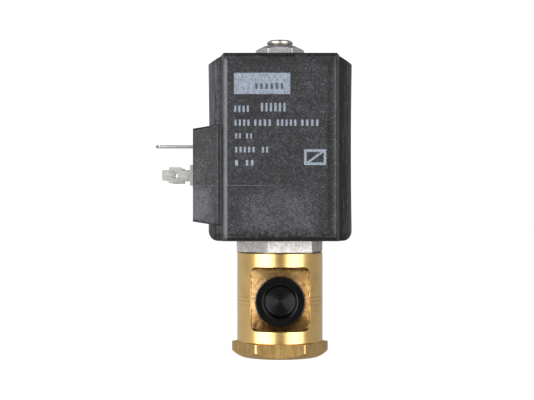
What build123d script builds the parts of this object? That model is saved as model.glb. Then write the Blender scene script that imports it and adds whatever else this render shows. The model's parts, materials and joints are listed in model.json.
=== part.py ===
from build123d import *
import math
import os

# Direct-acting two-way solenoid valve, closed without current. Millimetres.
# Origin on the axis of the guide tube, in the bottom face of the bottom plug. +Z runs up the
# tube, -Y is the side of the inlet port and the printed panel, -X the side of the connector.

# Stack along the tube, bottom to top
PLUG_HEAD_HEIGHT = 4.6
BODY_HEIGHT = 27.6
FLANGE_HEIGHT = 3.8
CASE_HEIGHT = 56.1
body_bottom = PLUG_HEAD_HEIGHT
body_top = body_bottom + BODY_HEIGHT
case_bottom = body_top + FLANGE_HEIGHT
case_top = case_bottom + CASE_HEIGHT

# Brass body: turned bar, one milled pocket with a spotface at each port
BODY_RADIUS = 13.25
BODY_EDGE_CHAMFER = 0.25
PORT_SIDES = {"front": -1, "back": 1}
PORT_HEIGHT = 17.4
FLAT_REACH = 9.5
POCKET_WIDTH = 19.0
POCKET_BOTTOM = 8.4
POCKET_TOP = 28.0
POCKET_CORNER_RADIUS = 2.6
POCKET_FLOOR_FILLET = 1.1
SPOTFACE_RADIUS = 9.1
SPOTFACE_REACH = 9.1

# G 1/4 port: thread held at its minor diameter, with a plain counterbore at the mouth
PORT_THREAD_RADIUS = 5.72
PORT_FLOOR_REACH = 2.8
COUNTERBORE_RADIUS = 6.7
COUNTERBORE_REACH = 7.3

# Flow passages inside the body
LOWER_BORE_RADIUS = 8.05
GALLERY_TOP = 10.4
UPPER_BORE_RADIUS = 9.05
UPPER_BORE_DEPTH = 4.2
CHAMBER_RADIUS = 7.5
CHAMBER_FLOOR = 25.6
RISER_RADIUS = 1.6
RISER_REACH = 5.8
ORIFICE_RADIUS = 1.5
SEAT_BORE_RADIUS = 3.0
SEAT_BORE_DEPTH = 1.7
SEAT_LIP_HEIGHT = 1.8
SEAT_LIP_RADIUS = 2.1
SEAT_LIP_WIDTH = 0.3
SEAT_COLLAR_HEIGHT = 0.8
seat_level = CHAMBER_FLOOR + SEAT_LIP_HEIGHT

# Protective plug in each port
CAP_FLANGE_RADIUS = 7.65
CAP_FLANGE_THICKNESS = 1.5
CAP_SPIGOT_RADIUS = 6.65
CAP_SPIGOT_LENGTH = 1.7
CAP_RECESS_RADIUS = 4.45
CAP_RECESS_DEPTH = 2.2
CAP_OUTER_FILLET = 0.9
CAP_INNER_FILLET = 0.5

# Bottom plug: hexagon with turned corners, crowned below, threaded spigot above
PLUG_ACROSS_FLATS = 26.0
PLUG_CORNER_RADIUS = 14.85
PLUG_FACE_RADIUS = 12.0
PLUG_CROWN_HEIGHT = 1.9
PLUG_CROWN_BULGE = 0.16
PLUG_SPIGOT_RADIUS = 7.95
PLUG_SPIGOT_LENGTH = 4.8

# O-rings and the grooves that hold them at the two body joints
SEAL_WIRE_RADIUS = 0.79
SEAL_GROOVE_DEPTH = 1.6
LOWER_SEAL_RADIUS = 8.86
LOWER_GROOVE_RADIUS = 9.7
UPPER_SEAL_RADIUS = 9.93
UPPER_GROOVE_RADIUS = 10.8

# Flange, guide tube and fixed core
FLANGE_ACROSS_FLATS = 24.0
FLANGE_CORNER_FILLET = 0.5
FLANGE_TURN = 14.7
FLANGE_SPIGOT_RADIUS = 9.0
FLANGE_SPIGOT_LENGTH = 4.0
TUBE_RADIUS = 6.5
TUBE_BORE_RADIUS = 6.0
TUBE_TOP = 84.0
CORE_RADIUS = 5.97
CORE_BOTTOM = 62.3
CORE_COLLAR_HEIGHT = 2.0
STUD_RADIUS = 4.0
STUD_TOP = 97.75
STUD_CHAMFER_WIDTH = 0.95
STUD_CHAMFER_HEIGHT = 0.5
SHADING_OUTER_RADIUS = 4.8
SHADING_INNER_RADIUS = 3.8
SHADING_DEPTH = 1.6
tube_bottom = body_top - FLANGE_SPIGOT_LENGTH
collar_top = TUBE_TOP + CORE_COLLAR_HEIGHT

# Plunger, its seal disc and its return spring
PLUNGER_RADIUS = 5.9
PLUNGER_TOP = 60.0
PLUNGER_NOSE = 0.5
PLUNGER_EDGE_CHAMFER = 0.4
DISC_RADIUS = 3.2
DISC_DEPTH = 2.4
SPRING_BORE_RADIUS = 2.75
SPRING_BORE_DEPTH = 12.0
SPRING_WIRE_RADIUS = 0.3
SPRING_COIL_RADIUS = 2.2
SPRING_TURNS = 8
plunger_bottom = seat_level + PLUNGER_NOSE
spring_bottom = PLUNGER_TOP - SPRING_BORE_DEPTH

# Coil case: raised panel front and back, drafted down to a rounded shoulder on each side
PANEL_HALF_WIDTH = 16.75
PANEL_REACH = 20.0
PANEL_FOOT_HALF_WIDTH = 17.95
PANEL_FOOT_REACH = 14.4
PANEL_RIDGE_RADIUS = 1.2
PANEL_END_RADIUS = 1.8
CASE_HALF_WIDTH = 21.85
CASE_WAIST = 0.3
SHOULDER_REACH = 8.0
SHOULDER_ARC_RADIUS = 12.0
TOP_CHAMFER_HALF_WIDTH = 16.6
TOP_CHAMFER_DROP = 2.6
TOP_EDGE_RADIUS = 2.5
TOP_CORNER_RADIUS = 2.2
BOTTOM_CORNER_RADIUS = 3.0
CASE_WALL_BOTTOM = 3.0
CASE_WALL_TOP = 2.5

# Coil inside the case
BOBBIN_BORE_RADIUS = 6.6
BOBBIN_TUBE_RADIUS = 7.6
BOBBIN_FLANGE_RADIUS = 14.95
BOBBIN_FLANGE_THICKNESS = 1.2
WINDING_RADIUS = 14.5
TAPE_THICKNESS = 0.3
YOKE_HALF_WIDTH = 15.1
YOKE_REACH = 18.3
YOKE_LEG_THICKNESS = 3.0
YOKE_BASE_THICKNESS = 3.5
YOKE_PLATE_THICKNESS = 3.2
YOKE_BEND_RADIUS = 2.5
YOKE_BORE_RADIUS = 6.7
YOKE_TOP_BORE_RADIUS = 4.3
PACKING_GAP = 0.05
cavity_bottom = case_bottom + CASE_WALL_BOTTOM
cavity_top = case_top - CASE_WALL_TOP
yoke_bottom = cavity_bottom + PACKING_GAP
yoke_top = cavity_top - PACKING_GAP
bobbin_bottom = yoke_bottom + YOKE_BASE_THICKNESS + PACKING_GAP
bobbin_top = yoke_top - YOKE_PLATE_THICKNESS - PACKING_GAP

# Rubber rings at the two ends of the case, and the nut and washer that clamp it
LOWER_RING_RADIUS = 9.6
LOWER_RING_HEIGHT = 1.6
UPPER_RING_RADIUS = 6.1
UPPER_RING_BORE_RADIUS = 4.3
WASHER_RADIUS = 8.0
WASHER_BORE_RADIUS = 4.2
WASHER_THICKNESS = 1.0
WASHER_RECESS_RADIUS = 8.5
WASHER_RECESS_DEPTH = 0.8
NUT_ACROSS_FLATS = 13.0
NUT_HEIGHT = 3.7
NUT_BORE_RADIUS = 4.03
NUT_FACE_RADIUS = 4.7
NUT_CHAMFER_ANGLE = 25
washer_bottom = case_top - WASHER_RECESS_DEPTH
nut_bottom = washer_bottom + WASHER_THICKNESS

# Connector base on the side of the case, after EN 175301-803 form A
CONNECTOR_FACE_REACH = 26.3
CONNECTOR_ROOT_REACH = 18.6
CONNECTOR_HEIGHT = 55.8
CONNECTOR_HALF_SIDE = 14.0
CONNECTOR_ROOT_HALF_HEIGHT = 15.25
CONNECTOR_ROOT_STEP = 0.4
CONNECTOR_ROOT_HALF_DEPTH = 14.8
CONNECTOR_EDGE_RADIUS = 0.8
BLADE_THICKNESS = 0.8
BLADE_WIDTH = 6.3
BLADE_OFFSET = 9.0
EARTH_LENGTH = 12.1
EARTH_TIP_CHAMFER = 1.2
POWER_LENGTH = 9.7
POWER_SHOULDER_LENGTH = 1.2
POWER_NECK_END = 3.65
POWER_NECK_WIDTH = 3.2
POWER_CROSS_END = 7.6
POWER_CROSS_WIDTH = 4.8
POWER_TIP_CHAMFER = 0.4
POWER_HOLE_RADIUS = 0.88
POWER_HOLE_REACH = 5.8
TAIL_WIDTH = 3.2
TAIL_END_REACH = 13.5
TAIL_GAP = 0.03
STRAP_THICKNESS = 0.8
STRAP_WIDTH = 4.0
STRAP_END_REACH = 17.0
LEAD_RADIUS = 0.35
LEAD_END_REACH = 12.3
INSERT_RADIUS = 2.3
INSERT_THREAD_RADIUS = 1.25
INSERT_LENGTH = 6.5
INSERT_POCKET_GAP = 0.2

os.makedirs("parts", exist_ok=True)


def port_plane(side, reach):
    """Plane square to the port axis, at a distance from the valve axis, facing outward."""
    return Plane(origin=(0, side * reach, PORT_HEIGHT), x_dir=(-side, 0, 0), z_dir=(0, side, 0))


def connector_plane(reach, height=CONNECTOR_HEIGHT):
    """Plane parallel to the connector face, facing outward: its x is -Y and its y is +Z."""
    return Plane(origin=(-reach, 0, height), x_dir=(0, -1, 0), z_dir=(-1, 0, 0))


# ---------------------------------------------------------------- body and bottom plug

# Shape of one milled pocket, with the cutter's corner radius left round its floor
with BuildPart() as pocket_shape:
    with BuildSketch(port_plane(-1, FLAT_REACH)):
        with Locations((0, (POCKET_TOP + POCKET_BOTTOM) / 2 - PORT_HEIGHT)):
            RectangleRounded(POCKET_WIDTH, POCKET_TOP - POCKET_BOTTOM, POCKET_CORNER_RADIUS)
    extrude(amount=BODY_RADIUS)
    fillet(pocket_shape.edges().group_by(Axis.Y)[-1], POCKET_FLOOR_FILLET)

with BuildPart() as valve_body:
    with BuildSketch(Plane.XY.offset(body_bottom)):
        Circle(BODY_RADIUS)
    extrude(amount=BODY_HEIGHT)
    chamfer(valve_body.edges().filter_by(GeomType.CIRCLE), BODY_EDGE_CHAMFER)
    add(pocket_shape.part, mode=Mode.SUBTRACT)
    add(pocket_shape.part.mirror(Plane.XZ), mode=Mode.SUBTRACT)
    for side in PORT_SIDES.values():
        with BuildSketch(port_plane(side, SPOTFACE_REACH)):
            Circle(SPOTFACE_RADIUS)
        extrude(amount=BODY_RADIUS - SPOTFACE_REACH, mode=Mode.SUBTRACT)
        with BuildSketch(port_plane(side, COUNTERBORE_REACH)):
            Circle(COUNTERBORE_RADIUS)
        extrude(amount=SPOTFACE_REACH - COUNTERBORE_REACH, mode=Mode.SUBTRACT)
        with BuildSketch(port_plane(side, PORT_FLOOR_REACH)):
            Circle(PORT_THREAD_RADIUS)
        extrude(amount=COUNTERBORE_REACH - PORT_FLOOR_REACH, mode=Mode.SUBTRACT)
    # Lower bore and O-ring groove for the bottom plug
    with BuildSketch(Plane.XY.offset(body_bottom)):
        Circle(LOWER_BORE_RADIUS)
    extrude(amount=GALLERY_TOP - body_bottom, mode=Mode.SUBTRACT)
    with BuildSketch(Plane.XY.offset(body_bottom)):
        Circle(LOWER_GROOVE_RADIUS)
    extrude(amount=SEAL_GROOVE_DEPTH, mode=Mode.SUBTRACT)
    # Upper chamber, threaded bore and O-ring groove for the tube flange
    with BuildSketch(Plane.XY.offset(CHAMBER_FLOOR)):
        Circle(CHAMBER_RADIUS)
    extrude(amount=body_top - CHAMBER_FLOOR, mode=Mode.SUBTRACT)
    with BuildSketch(Plane.XY.offset(body_top)):
        Circle(UPPER_BORE_RADIUS)
    extrude(amount=-UPPER_BORE_DEPTH, mode=Mode.SUBTRACT)
    with BuildSketch(Plane.XY.offset(body_top)):
        Circle(UPPER_GROOVE_RADIUS)
    extrude(amount=-SEAL_GROOVE_DEPTH, mode=Mode.SUBTRACT)
    # Seat bore and orifice on the axis, inlet riser in front, outlet riser behind
    with BuildSketch(Plane.XY.offset(CHAMBER_FLOOR)):
        Circle(SEAT_BORE_RADIUS)
    extrude(amount=-SEAT_BORE_DEPTH, mode=Mode.SUBTRACT)
    with BuildSketch(Plane.XY.offset(GALLERY_TOP)):
        Circle(ORIFICE_RADIUS)
    extrude(amount=CHAMBER_FLOOR - GALLERY_TOP, mode=Mode.SUBTRACT)
    with BuildSketch(Plane.XY.offset(PORT_HEIGHT)):
        with Locations((0, -RISER_REACH)):
            Circle(RISER_RADIUS)
    extrude(amount=CHAMBER_FLOOR - PORT_HEIGHT, mode=Mode.SUBTRACT)
    with BuildSketch(Plane.XY.offset(GALLERY_TOP)):
        with Locations((0, RISER_REACH)):
            Circle(RISER_RADIUS)
    extrude(amount=PORT_HEIGHT - GALLERY_TOP, mode=Mode.SUBTRACT)
valve_body.part.label = "valve_body"
export_step(valve_body.part, "parts/valve_body.step")

with BuildPart() as bottom_plug:
    with BuildSketch():
        RegularPolygon(PLUG_ACROSS_FLATS / 2, 6, major_radius=False)
    extrude(amount=PLUG_HEAD_HEIGHT)
    with BuildSketch(Plane.XZ):
        with BuildLine():
            SagittaArc((PLUG_FACE_RADIUS, 0), (PLUG_CORNER_RADIUS, PLUG_CROWN_HEIGHT), -PLUG_CROWN_BULGE)
            Polyline(
                (PLUG_CORNER_RADIUS, PLUG_CROWN_HEIGHT),
                (PLUG_CORNER_RADIUS, PLUG_HEAD_HEIGHT),
                (0, PLUG_HEAD_HEIGHT),
                (0, 0),
                (PLUG_FACE_RADIUS, 0),
            )
        make_face()
    revolve(axis=Axis.Z, mode=Mode.INTERSECT)
    with BuildSketch(Plane.XY.offset(PLUG_HEAD_HEIGHT)):
        Circle(PLUG_SPIGOT_RADIUS)
    extrude(amount=PLUG_SPIGOT_LENGTH)
bottom_plug.part.label = "bottom_plug"
export_step(bottom_plug.part, "parts/bottom_plug.step")

with BuildPart() as bottom_plug_seal:
    with BuildSketch(Plane.XZ):
        with Locations((LOWER_SEAL_RADIUS, body_bottom + SEAL_GROOVE_DEPTH / 2)):
            Circle(SEAL_WIRE_RADIUS)
    revolve(axis=Axis.Z)
bottom_plug_seal.part.label = "bottom_plug_seal"
export_step(bottom_plug_seal.part, "parts/bottom_plug_seal.step")

with BuildPart() as seat_nozzle:
    with BuildSketch(Plane.XZ):
        with BuildLine():
            Polyline(
                (ORIFICE_RADIUS, CHAMBER_FLOOR - SEAT_BORE_DEPTH),
                (SEAT_BORE_RADIUS, CHAMBER_FLOOR - SEAT_BORE_DEPTH),
                (SEAT_BORE_RADIUS, CHAMBER_FLOOR + SEAT_COLLAR_HEIGHT),
                (SEAT_LIP_RADIUS, seat_level),
                (SEAT_LIP_RADIUS - SEAT_LIP_WIDTH, seat_level),
                (ORIFICE_RADIUS, CHAMBER_FLOOR + SEAT_COLLAR_HEIGHT),
                close=True,
            )
        make_face()
    revolve(axis=Axis.Z)
seat_nozzle.part.label = "seat_nozzle"
export_step(seat_nozzle.part, "parts/seat_nozzle.step")

# ---------------------------------------------------------------- protective port plugs

for port_name, side in PORT_SIDES.items():
    with BuildPart() as port_cap:
        with BuildSketch(port_plane(side, SPOTFACE_REACH)):
            Circle(CAP_FLANGE_RADIUS)
        extrude(amount=CAP_FLANGE_THICKNESS)
        with BuildSketch(port_plane(side, SPOTFACE_REACH)):
            Circle(CAP_SPIGOT_RADIUS)
        extrude(amount=-CAP_SPIGOT_LENGTH)
        cap_face_reach = SPOTFACE_REACH + CAP_FLANGE_THICKNESS
        with BuildSketch(port_plane(side, cap_face_reach)):
            Circle(CAP_RECESS_RADIUS)
        extrude(amount=-CAP_RECESS_DEPTH, mode=Mode.SUBTRACT)
        rim_face = port_cap.faces().sort_by(Axis((0, 0, 0), (0, side, 0)))[-1]
        fillet(rim_face.outer_wire().edges(), CAP_OUTER_FILLET)
        rim_face = port_cap.faces().sort_by(Axis((0, 0, 0), (0, side, 0)))[-1]
        fillet(rim_face.inner_wires().edges(), CAP_INNER_FILLET)
    port_cap.part.label = f"port_plug_{port_name}"
    export_step(port_cap.part, f"parts/port_plug_{port_name}.step")

# ---------------------------------------------------------------- flange, tube and core

with BuildPart() as tube_flange:
    with BuildSketch(Plane.XY.offset(body_top)):
        RegularPolygon(FLANGE_ACROSS_FLATS / 2, 6, major_radius=False, rotation=FLANGE_TURN)
    extrude(amount=FLANGE_HEIGHT)
    fillet(tube_flange.edges().filter_by(Axis.Z), FLANGE_CORNER_FILLET)
    with BuildSketch(Plane.XY.offset(body_top)):
        Circle(FLANGE_SPIGOT_RADIUS)
    extrude(amount=-FLANGE_SPIGOT_LENGTH)
    with BuildSketch(Plane.XY.offset(tube_bottom)):
        Circle(TUBE_RADIUS)
    extrude(amount=FLANGE_SPIGOT_LENGTH + FLANGE_HEIGHT, mode=Mode.SUBTRACT)
tube_flange.part.label = "tube_flange"
export_step(tube_flange.part, "parts/tube_flange.step")

with BuildPart() as tube_seal:
    with BuildSketch(Plane.XZ):
        with Locations((UPPER_SEAL_RADIUS, body_top - SEAL_GROOVE_DEPTH / 2)):
            Circle(SEAL_WIRE_RADIUS)
    revolve(axis=Axis.Z)
tube_seal.part.label = "tube_seal"
export_step(tube_seal.part, "parts/tube_seal.step")

with BuildPart() as guide_tube:
    with BuildSketch(Plane.XY.offset(tube_bottom)):
        Circle(TUBE_RADIUS)
        Circle(TUBE_BORE_RADIUS, mode=Mode.SUBTRACT)
    extrude(amount=TUBE_TOP - tube_bottom)
guide_tube.part.label = "guide_tube"
export_step(guide_tube.part, "parts/guide_tube.step")

with BuildPart() as fixed_core:
    with BuildSketch(Plane.XY.offset(CORE_BOTTOM)):
        Circle(CORE_RADIUS)
    extrude(amount=TUBE_TOP - CORE_BOTTOM)
    with BuildSketch(Plane.XY.offset(TUBE_TOP)):
        Circle(TUBE_RADIUS)
    extrude(amount=CORE_COLLAR_HEIGHT)
    with BuildSketch(Plane.XY.offset(collar_top)):
        Circle(STUD_RADIUS)
    extrude(amount=STUD_TOP - collar_top)
    stud_face = fixed_core.faces().sort_by(Axis.Z)[-1]
    chamfer(stud_face.edges(), STUD_CHAMFER_WIDTH, STUD_CHAMFER_HEIGHT, reference=stud_face)
    with BuildSketch(Plane.XY.offset(CORE_BOTTOM)):
        Circle(SHADING_OUTER_RADIUS)
        Circle(SHADING_INNER_RADIUS, mode=Mode.SUBTRACT)
    extrude(amount=SHADING_DEPTH, mode=Mode.SUBTRACT)
fixed_core.part.label = "fixed_core"
export_step(fixed_core.part, "parts/fixed_core.step")

with BuildPart() as shading_ring:
    with BuildSketch(Plane.XY.offset(CORE_BOTTOM)):
        Circle(SHADING_OUTER_RADIUS)
        Circle(SHADING_INNER_RADIUS, mode=Mode.SUBTRACT)
    extrude(amount=SHADING_DEPTH)
shading_ring.part.label = "shading_ring"
export_step(shading_ring.part, "parts/shading_ring.step")

# ---------------------------------------------------------------- plunger

with BuildPart() as plunger:
    with BuildSketch(Plane.XY.offset(plunger_bottom)):
        Circle(PLUNGER_RADIUS)
    extrude(amount=PLUNGER_TOP - plunger_bottom)
    chamfer(plunger.edges().filter_by(GeomType.CIRCLE), PLUNGER_EDGE_CHAMFER)
    with BuildSketch(Plane.XY.offset(plunger_bottom)):
        Circle(DISC_RADIUS)
    extrude(amount=DISC_DEPTH, mode=Mode.SUBTRACT)
    with BuildSketch(Plane.XY.offset(PLUNGER_TOP)):
        Circle(SPRING_BORE_RADIUS)
    extrude(amount=-SPRING_BORE_DEPTH, mode=Mode.SUBTRACT)
plunger.part.label = "plunger"
export_step(plunger.part, "parts/plunger.step")

with BuildPart() as plunger_disc:
    with BuildSketch(Plane.XY.offset(seat_level)):
        Circle(DISC_RADIUS)
    extrude(amount=PLUNGER_NOSE + DISC_DEPTH)
plunger_disc.part.label = "plunger_disc"
export_step(plunger_disc.part, "parts/plunger_disc.step")

# Return spring, from the floor of its bore to the face of the fixed core
with BuildPart() as plunger_spring:
    spring_height = CORE_BOTTOM - spring_bottom - 2 * SPRING_WIRE_RADIUS
    with BuildLine(Plane.XY.offset(spring_bottom + SPRING_WIRE_RADIUS)):
        spring_path = Helix(spring_height / SPRING_TURNS, spring_height, SPRING_COIL_RADIUS)
    with BuildSketch(Plane(origin=spring_path @ 0, z_dir=spring_path % 0)):
        Circle(SPRING_WIRE_RADIUS)
    sweep(path=spring_path, is_frenet=True)
plunger_spring.part.label = "plunger_spring"
export_step(plunger_spring.part, "parts/plunger_spring.step")

# ---------------------------------------------------------------- coil inside the case

with BuildPart() as bobbin:
    with BuildSketch(Plane.XY.offset(bobbin_bottom)):
        Circle(BOBBIN_TUBE_RADIUS)
    extrude(amount=bobbin_top - bobbin_bottom)
    for flange_bottom in (bobbin_bottom, bobbin_top - BOBBIN_FLANGE_THICKNESS):
        with BuildSketch(Plane.XY.offset(flange_bottom)):
            Circle(BOBBIN_FLANGE_RADIUS)
        extrude(amount=BOBBIN_FLANGE_THICKNESS)
    with BuildSketch(Plane.XY.offset(bobbin_bottom)):
        Circle(BOBBIN_BORE_RADIUS)
    extrude(amount=bobbin_top - bobbin_bottom, mode=Mode.SUBTRACT)
bobbin.part.label = "bobbin"
export_step(bobbin.part, "parts/bobbin.step")

winding_bottom = bobbin_bottom + BOBBIN_FLANGE_THICKNESS
winding_height = bobbin_top - bobbin_bottom - 2 * BOBBIN_FLANGE_THICKNESS

with BuildPart() as winding:
    with BuildSketch(Plane.XY.offset(winding_bottom)):
        Circle(WINDING_RADIUS)
        Circle(BOBBIN_TUBE_RADIUS, mode=Mode.SUBTRACT)
    extrude(amount=winding_height)
winding.part.label = "winding"
export_step(winding.part, "parts/winding.step")

with BuildPart() as winding_tape:
    with BuildSketch(Plane.XY.offset(winding_bottom)):
        Circle(WINDING_RADIUS + TAPE_THICKNESS)
        Circle(WINDING_RADIUS, mode=Mode.SUBTRACT)
    extrude(amount=winding_height)
winding_tape.part.label = "winding_tape"
export_step(winding_tape.part, "parts/winding_tape.step")

# U-shaped frame bent from strip: base under the bobbin, one leg in front and one behind
yoke_leg_top = yoke_top - YOKE_PLATE_THICKNESS
with BuildPart() as yoke_frame:
    with BuildSketch(Plane.YZ):
        with Locations((0, yoke_bottom)):
            Rectangle(2 * YOKE_REACH, yoke_leg_top - yoke_bottom, align=(Align.CENTER, Align.MIN))
        with Locations((0, yoke_bottom + YOKE_BASE_THICKNESS)):
            Rectangle(
                2 * (YOKE_REACH - YOKE_LEG_THICKNESS),
                yoke_leg_top - yoke_bottom - YOKE_BASE_THICKNESS,
                align=(Align.CENTER, Align.MIN),
                mode=Mode.SUBTRACT,
            )
    extrude(amount=YOKE_HALF_WIDTH, both=True)
    fillet(yoke_frame.edges().filter_by(Axis.X).group_by(Axis.Z)[0], YOKE_BEND_RADIUS)
    with BuildSketch(Plane.XY.offset(yoke_bottom)):
        Circle(YOKE_BORE_RADIUS)
    extrude(amount=YOKE_BASE_THICKNESS, mode=Mode.SUBTRACT)
yoke_frame.part.label = "yoke_frame"
export_step(yoke_frame.part, "parts/yoke_frame.step")

with BuildPart() as yoke_plate:
    with BuildSketch(Plane.XY.offset(yoke_leg_top)):
        Rectangle(2 * YOKE_HALF_WIDTH, 2 * YOKE_REACH)
        Circle(YOKE_TOP_BORE_RADIUS, mode=Mode.SUBTRACT)
    extrude(amount=YOKE_PLATE_THICKNESS)
yoke_plate.part.label = "yoke_plate"
export_step(yoke_plate.part, "parts/yoke_plate.step")

# ---------------------------------------------------------------- terminals and insert

# Power terminals: stepped blades standing on edge, one each side of the fixing screw
power_outline = [
    (0, BLADE_WIDTH / 2),
    (POWER_SHOULDER_LENGTH, BLADE_WIDTH / 2),
    (POWER_SHOULDER_LENGTH, POWER_NECK_WIDTH / 2),
    (POWER_NECK_END, POWER_NECK_WIDTH / 2),
    (POWER_NECK_END, POWER_CROSS_WIDTH / 2),
    (POWER_CROSS_END, POWER_CROSS_WIDTH / 2),
    (POWER_CROSS_END, POWER_NECK_WIDTH / 2),
    (POWER_LENGTH - POWER_TIP_CHAMFER, POWER_NECK_WIDTH / 2),
    (POWER_LENGTH, POWER_NECK_WIDTH / 2 - POWER_TIP_CHAMFER),
    (POWER_LENGTH, 0),
    (0, 0),
]
for number, side in ((1, -1), (2, 1)):
    blade_plane = Plane(
        origin=(-CONNECTOR_FACE_REACH, side * BLADE_OFFSET, CONNECTOR_HEIGHT),
        x_dir=(-1, 0, 0),
        z_dir=(0, 1, 0),
    )
    with BuildPart() as power_terminal:
        with BuildSketch(blade_plane):
            with BuildLine():
                Polyline(power_outline, close=True)
            make_face()
            mirror(about=Plane.XZ)
            with Locations((POWER_HOLE_REACH, 0)):
                Circle(POWER_HOLE_RADIUS, mode=Mode.SUBTRACT)
            tail_length = CONNECTOR_FACE_REACH - TAIL_END_REACH
            with Locations((-tail_length / 2, 0)):
                Rectangle(tail_length, TAIL_WIDTH)
        extrude(amount=BLADE_THICKNESS / 2, both=True)
    power_terminal.part.label = f"power_terminal_{number}"
    export_step(power_terminal.part, f"parts/power_terminal_{number}.step")

# Earth terminal: one long flat blade above the centre, butting on the strap inside the wall
strap_outer_reach = YOKE_HALF_WIDTH + STRAP_THICKNESS
earth_height = CONNECTOR_HEIGHT + BLADE_OFFSET
with BuildPart() as earth_terminal:
    with BuildSketch(Plane.XY.offset(earth_height)):
        with Locations((-CONNECTOR_FACE_REACH, 0)):
            Rectangle(EARTH_LENGTH, BLADE_WIDTH, align=(Align.MAX, Align.CENTER))
            Rectangle(
                CONNECTOR_FACE_REACH - strap_outer_reach,
                TAIL_WIDTH,
                align=(Align.MIN, Align.CENTER),
            )
    extrude(amount=BLADE_THICKNESS / 2, both=True)
    tip_edges = earth_terminal.edges().filter_by(Axis.Z).group_by(Axis.X)[0]
    chamfer(tip_edges, EARTH_TIP_CHAMFER)
earth_terminal.part.label = "earth_terminal"
export_step(earth_terminal.part, "parts/earth_terminal.step")

# Earth strap: runs in the case wall from the earth terminal to the edge of the front yoke leg
with BuildPart() as earth_strap:
    with BuildSketch(Plane.XY.offset(earth_height - STRAP_WIDTH / 2)):
        with Locations((-YOKE_HALF_WIDTH, -STRAP_END_REACH)):
            Rectangle(
                STRAP_THICKNESS,
                STRAP_END_REACH + TAIL_WIDTH / 2,
                align=(Align.MAX, Align.MIN),
            )
    extrude(amount=STRAP_WIDTH)
earth_strap.part.label = "earth_strap"
export_step(earth_strap.part, "parts/earth_strap.step")

# Two short leads join the tails of the power terminals to the winding
with BuildPart() as winding_leads:
    for side in (-1, 1):
        with BuildSketch(Plane.YZ.offset(-TAIL_END_REACH)):
            with Locations((side * BLADE_OFFSET, CONNECTOR_HEIGHT)):
                Circle(LEAD_RADIUS)
        extrude(amount=TAIL_END_REACH - LEAD_END_REACH)
winding_leads.part.label = "winding_leads"
export_step(winding_leads.part, "parts/winding_leads.step")

with BuildPart() as connector_insert:
    with BuildSketch(connector_plane(CONNECTOR_FACE_REACH)):
        Circle(INSERT_RADIUS)
        Circle(INSERT_THREAD_RADIUS, mode=Mode.SUBTRACT)
    extrude(amount=-INSERT_LENGTH)
connector_insert.part.label = "connector_insert"
export_step(connector_insert.part, "parts/connector_insert.step")

# ---------------------------------------------------------------- coil case

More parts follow.
